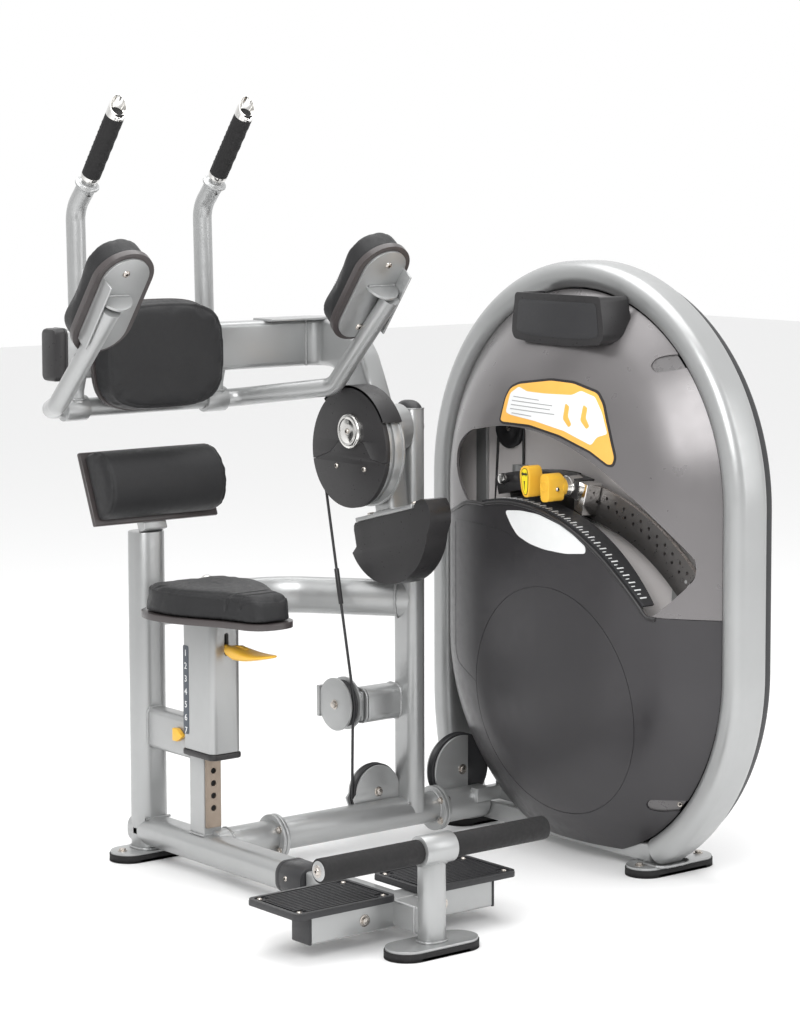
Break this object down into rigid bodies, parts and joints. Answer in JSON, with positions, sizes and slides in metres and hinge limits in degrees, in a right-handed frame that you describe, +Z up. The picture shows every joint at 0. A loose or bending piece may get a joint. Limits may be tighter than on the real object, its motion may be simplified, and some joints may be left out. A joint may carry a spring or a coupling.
{
  "type": "abdominal crunch machine",
  "caption": "Seated abdominal crunch machine: swing arm with handles, arm pads and back pad, sliding seat, roller footrest, and a cable to a hoop-framed weight tower.",
  "frame": {"origin": "middle of the bounding box, on the floor", "axes": "+Z up; the user faces -Y; +X is the weight tower side, the left hand of the user"},
  "size_m": [1.233, 1.083, 1.5678],
  "materials": {
    "silver_paint": "satin metallic paint",
    "black_vinyl": "grained vinyl",
    "black_rubber": "matt",
    "black_plastic": "fine texture",
    "grey_board": "satin",
    "chrome": "polished",
    "plain_steel": "plated",
    "yellow_plastic": "satin",
    "shell_plastic": "fine metallic texture",
    "dark_plastic": "satin"
  },
  "bodies": {
    "frame": {"rear_frame": "silver_paint", "rear_foot_pad": "black_rubber", "side_tube_cap": "dark_plastic", "cross_frame": "silver_paint", "pivot_shaft": "plain_steel", "curved_beam": "silver_paint", "lumbar_cushion": "black_vinyl", "seat_hole_strip": "plain_steel", "footrest_frame": "silver_paint", "footrest_pad": "black_rubber", "foot_bar_axle": "plain_steel", "foot_plate_left": "black_plastic", "foot_plate_right": "black_plastic", "mid_pulley_bracket": "silver_paint", "base_pulley_bracket": "silver_paint", "cable": "black_plastic", "hoop_frame": "silver_paint", "tower_front_pad": "black_rubber", "tower_rear_pad": "black_rubber", "tower_frame": "silver_paint", "front_shell": "shell_plastic", "rear_shell": "dark_plastic", "scale_band": "dark_plastic", "tray": "dark_plastic"},
    "crunch_arm": {"arm_frame": "silver_paint", "arm_end_cap": "black_plastic", "counterweight": "black_plastic", "cable_drum": "silver_paint", "drum_cover_upper": "black_plastic", "drum_cover_lower": "black_plastic", "hub_cap": "chrome", "handle_left": "silver_paint", "handle_right": "silver_paint", "grip_left": "black_rubber", "grip_right": "black_rubber", "back_cushion": "black_vinyl"},
    "arm_pads": {"pad_frame": "silver_paint", "arm_plate_left": "silver_paint", "arm_plate_right": "silver_paint", "arm_cushion_left": "black_vinyl", "arm_cushion_right": "black_vinyl"},
    "seat": {"seat_sleeve": "silver_paint", "sleeve_bushing": "black_plastic", "seat_board": "grey_board", "seat_cushion": "black_vinyl"},
    "seat_lever": {"seat_lever": "yellow_plastic"},
    "seat_pin": {"seat_lock_pin": "plain_steel"},
    "mid_pulley": {"mid_pulley": "black_plastic"},
    "base_pulley": {"base_pulley": "black_plastic"},
    "tower_pulley": {"tower_pulley": "black_plastic"},
    "guide_pulley": {"guide_pulley": "black_plastic"},
    "foot_roller_left": {"foot_roller_left": "black_rubber"},
    "foot_roller_right": {"foot_roller_right": "black_rubber"},
    "weight_arm": {"weight_arm": "chrome", "weight_plates": "black_plastic"},
    "carriage": {"carriage": "plain_steel", "carriage_grip": "yellow_plastic"},
    "squeeze_trigger": {"squeeze_trigger": "yellow_plastic"}
  },
  "joints": [
    {"name": "crunch", "type": "hinge", "parent": "frame", "child": "crunch_arm", "pos_m": [0.1895, 0.2575, 0.884], "axis": [1, 0, 0], "range_deg": [0, 60], "deforming": ["cable"]},
    {"name": "arm_pad_tilt", "type": "hinge", "parent": "crunch_arm", "child": "arm_pads", "pos_m": [-0.2475, 0.4955, 0.945], "axis": [1, 0, 0], "range_deg": [-6, 8]},
    {"name": "seat_height", "type": "slide", "parent": "frame", "child": "seat", "axis": [0, 0, 1], "range_m": [-0.1524, 0]},
    {"name": "seat_lever", "type": "hinge", "parent": "seat", "child": "seat_lever", "pos_m": [-0.2475, 0.2335, 0.474], "axis": [-1, 0, 0], "range_deg": [0, 12], "stiffness_Nm_per_rad": 2, "springref_deg": -14.32},
    {"name": "seat_pin_pull", "type": "slide", "parent": "seat", "child": "seat_pin", "axis": [0, -1, 0], "range_m": [0, 0.006]},
    {"name": "mid_pulley_spin", "type": "hinge", "parent": "frame", "child": "mid_pulley", "pos_m": [0.1245, 0.3275, 0.3], "axis": [1, 0, 0], "continuous": true},
    {"name": "base_pulley_spin", "type": "hinge", "parent": "frame", "child": "base_pulley", "pos_m": [0.18, 0.2855, 0.1135], "axis": [0, 1, 0], "continuous": true},
    {"name": "tower_pulley_spin", "type": "hinge", "parent": "frame", "child": "tower_pulley", "pos_m": [0.4085, 0.2855, 0.13], "axis": [0, 1, 0], "continuous": true},
    {"name": "guide_pulley_spin", "type": "hinge", "parent": "frame", "child": "guide_pulley", "pos_m": [0.4575, 0.1655, 0.875], "axis": [1, 0, 0], "continuous": true},
    {"name": "left_roller_spin", "type": "hinge", "parent": "frame", "child": "foot_roller_left", "pos_m": [-0.0975, -0.4545, 0.194], "axis": [1, 0, 0], "continuous": true},
    {"name": "right_roller_spin", "type": "hinge", "parent": "frame", "child": "foot_roller_right", "pos_m": [-0.3975, -0.4545, 0.194], "axis": [1, 0, 0], "continuous": true},
    {"name": "weight_lift", "type": "hinge", "parent": "frame", "child": "weight_arm", "pos_m": [0.4385, -0.3545, 0.33], "axis": [1, 0, 0], "range_deg": [0, 4.6]},
    {"name": "carriage_travel", "type": "hinge", "parent": "weight_arm", "child": "carriage", "pos_m": [0.4385, -0.0225, 0.203], "axis": [1, 0, 0], "range_deg": [0, 26]},
    {"name": "squeeze", "type": "slide", "parent": "carriage", "child": "squeeze_trigger", "axis": [0, -1, 0], "range_m": [0, 0.012], "stiffness_N_per_m": 400, "springref_m": -0.01}
  ],
  "couplings": [
    {"joint": "weight_lift", "follows": "crunch", "ratio": 0.075},
    {"joint": "seat_pin_pull", "follows": "seat_lever", "m_per_rad": 0.0286}
  ]
}
